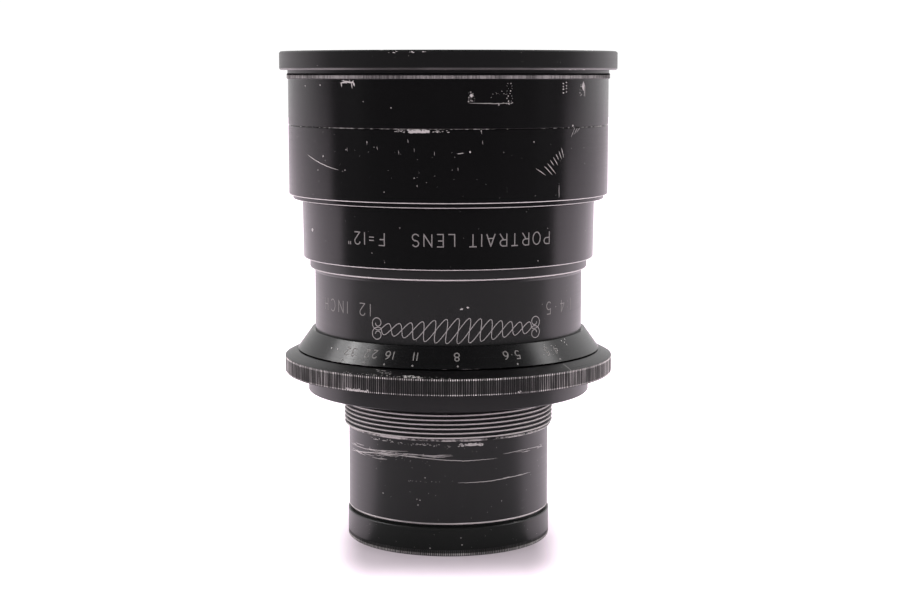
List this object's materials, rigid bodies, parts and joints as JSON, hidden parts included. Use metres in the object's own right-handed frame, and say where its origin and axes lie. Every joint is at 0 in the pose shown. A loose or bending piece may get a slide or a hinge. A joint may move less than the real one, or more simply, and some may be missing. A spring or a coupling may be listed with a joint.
{
  "type": "long-focus portrait camera lens",
  "caption": "Black-finished barrel lens for a large camera: stepped barrel, turning iris ring with f-number cone, flange screw thread and narrow rear tube.",
  "frame": {"origin": "centre of the rear end, on the lens axis; the lens stands on this end", "axes": "+Z along the lens axis towards the subject, -Y the side with the f/8 mark, +X the side with the index line at full aperture"},
  "size_m": [0.0808, 0.0808, 0.1174],
  "materials": {
    "black_lacquer": "satin",
    "black_matte": "matte",
    "dull_black": "matte",
    "blued_steel": "satin",
    "brass": "satin",
    "optical_glass": "gloss"
  },
  "bodies": {
    "lens_body": {"front_rim": "black_lacquer", "front_retaining_ring": "dull_black", "front_cell": "black_lacquer", "front_crown_element": "optical_glass", "front_flint_element": "optical_glass", "front_barrel": "black_lacquer", "front_baffle": "dull_black", "middle_barrel": "black_lacquer", "middle_baffle": "dull_black", "main_barrel": "black_lacquer", "scale_ring": "black_lacquer", "scale_grub_screws": "blued_steel", "iris_sleeve": "dull_black", "iris_base_plate": "dull_black", "mount_body": "black_matte", "rear_cell": "black_lacquer", "rear_negative_element": "optical_glass", "rear_positive_element": "optical_glass", "rear_retaining_ring": "dull_black"},
    "aperture_ring": {"aperture_ring": "black_lacquer", "aperture_drive_screw": "blued_steel", "iris_rotor": "brass"},
    "iris_blade_01": {"iris_blade_01": "blued_steel"},
    "iris_blade_02": {"iris_blade_02": "blued_steel"},
    "iris_blade_03": {"iris_blade_03": "blued_steel"},
    "iris_blade_04": {"iris_blade_04": "blued_steel"},
    "iris_blade_05": {"iris_blade_05": "blued_steel"},
    "iris_blade_06": {"iris_blade_06": "blued_steel"},
    "iris_blade_07": {"iris_blade_07": "blued_steel"},
    "iris_blade_08": {"iris_blade_08": "blued_steel"},
    "iris_blade_09": {"iris_blade_09": "blued_steel"},
    "iris_blade_10": {"iris_blade_10": "blued_steel"},
    "iris_blade_11": {"iris_blade_11": "blued_steel"},
    "iris_blade_12": {"iris_blade_12": "blued_steel"}
  },
  "joints": [
    {"name": "aperture_ring_turn", "type": "hinge", "parent": "lens_body", "child": "aperture_ring", "pos_m": [0, 0, 0.0427], "axis": [0, 0, 1], "range_deg": [-84.6, 0]},
    {"name": "iris_blade_01_swing", "type": "hinge", "parent": "lens_body", "child": "iris_blade_01", "pos_m": [0.0244, 0, 0.0493], "axis": [0, 0, 1], "range_deg": [-42.5, 0.2]},
    {"name": "iris_blade_02_swing", "type": "hinge", "parent": "lens_body", "child": "iris_blade_02", "pos_m": [0.02113, 0.0122, 0.0493], "axis": [0, 0, 1], "range_deg": [-42.5, 0.2]},
    {"name": "iris_blade_03_swing", "type": "hinge", "parent": "lens_body", "child": "iris_blade_03", "pos_m": [0.0122, 0.02113, 0.0493], "axis": [0, 0, 1], "range_deg": [-42.5, 0.2]},
    {"name": "iris_blade_04_swing", "type": "hinge", "parent": "lens_body", "child": "iris_blade_04", "pos_m": [0, 0.0244, 0.0493], "axis": [0, 0, 1], "range_deg": [-42.5, 0.2]},
    {"name": "iris_blade_05_swing", "type": "hinge", "parent": "lens_body", "child": "iris_blade_05", "pos_m": [-0.0122, 0.02113, 0.0493], "axis": [0, 0, 1], "range_deg": [-42.5, 0.2]},
    {"name": "iris_blade_06_swing", "type": "hinge", "parent": "lens_body", "child": "iris_blade_06", "pos_m": [-0.02113, 0.0122, 0.0493], "axis": [0, 0, 1], "range_deg": [-42.5, 0.2]},
    {"name": "iris_blade_07_swing", "type": "hinge", "parent": "lens_body", "child": "iris_blade_07", "pos_m": [-0.0244, 0, 0.0493], "axis": [0, 0, 1], "range_deg": [-42.5, 0.2]},
    {"name": "iris_blade_08_swing", "type": "hinge", "parent": "lens_body", "child": "iris_blade_08", "pos_m": [-0.02113, -0.0122, 0.0493], "axis": [0, 0, 1], "range_deg": [-42.5, 0.2]},
    {"name": "iris_blade_09_swing", "type": "hinge", "parent": "lens_body", "child": "iris_blade_09", "pos_m": [-0.0122, -0.02113, 0.0493], "axis": [0, 0, 1], "range_deg": [-42.5, 0.2]},
    {"name": "iris_blade_10_swing", "type": "hinge", "parent": "lens_body", "child": "iris_blade_10", "pos_m": [0, -0.0244, 0.0493], "axis": [0, 0, 1], "range_deg": [-42.5, 0.2]},
    {"name": "iris_blade_11_swing", "type": "hinge", "parent": "lens_body", "child": "iris_blade_11", "pos_m": [0.0122, -0.02113, 0.0493], "axis": [0, 0, 1], "range_deg": [-42.5, 0.2]},
    {"name": "iris_blade_12_swing", "type": "hinge", "parent": "lens_body", "child": "iris_blade_12", "pos_m": [0.02113, -0.0122, 0.0493], "axis": [0, 0, 1], "range_deg": [-42.5, 0.2]}
  ],
  "couplings": [
    {"joint": "iris_blade_01_swing", "follows": "aperture_ring_turn", "ratio": 0.5},
    {"joint": "iris_blade_02_swing", "follows": "aperture_ring_turn", "ratio": 0.5},
    {"joint": "iris_blade_03_swing", "follows": "aperture_ring_turn", "ratio": 0.5},
    {"joint": "iris_blade_04_swing", "follows": "aperture_ring_turn", "ratio": 0.5},
    {"joint": "iris_blade_05_swing", "follows": "aperture_ring_turn", "ratio": 0.5},
    {"joint": "iris_blade_06_swing", "follows": "aperture_ring_turn", "ratio": 0.5},
    {"joint": "iris_blade_07_swing", "follows": "aperture_ring_turn", "ratio": 0.5},
    {"joint": "iris_blade_08_swing", "follows": "aperture_ring_turn", "ratio": 0.5},
    {"joint": "iris_blade_09_swing", "follows": "aperture_ring_turn", "ratio": 0.5},
    {"joint": "iris_blade_10_swing", "follows": "aperture_ring_turn", "ratio": 0.5},
    {"joint": "iris_blade_11_swing", "follows": "aperture_ring_turn", "ratio": 0.5},
    {"joint": "iris_blade_12_swing", "follows": "aperture_ring_turn", "ratio": 0.5}
  ]
}
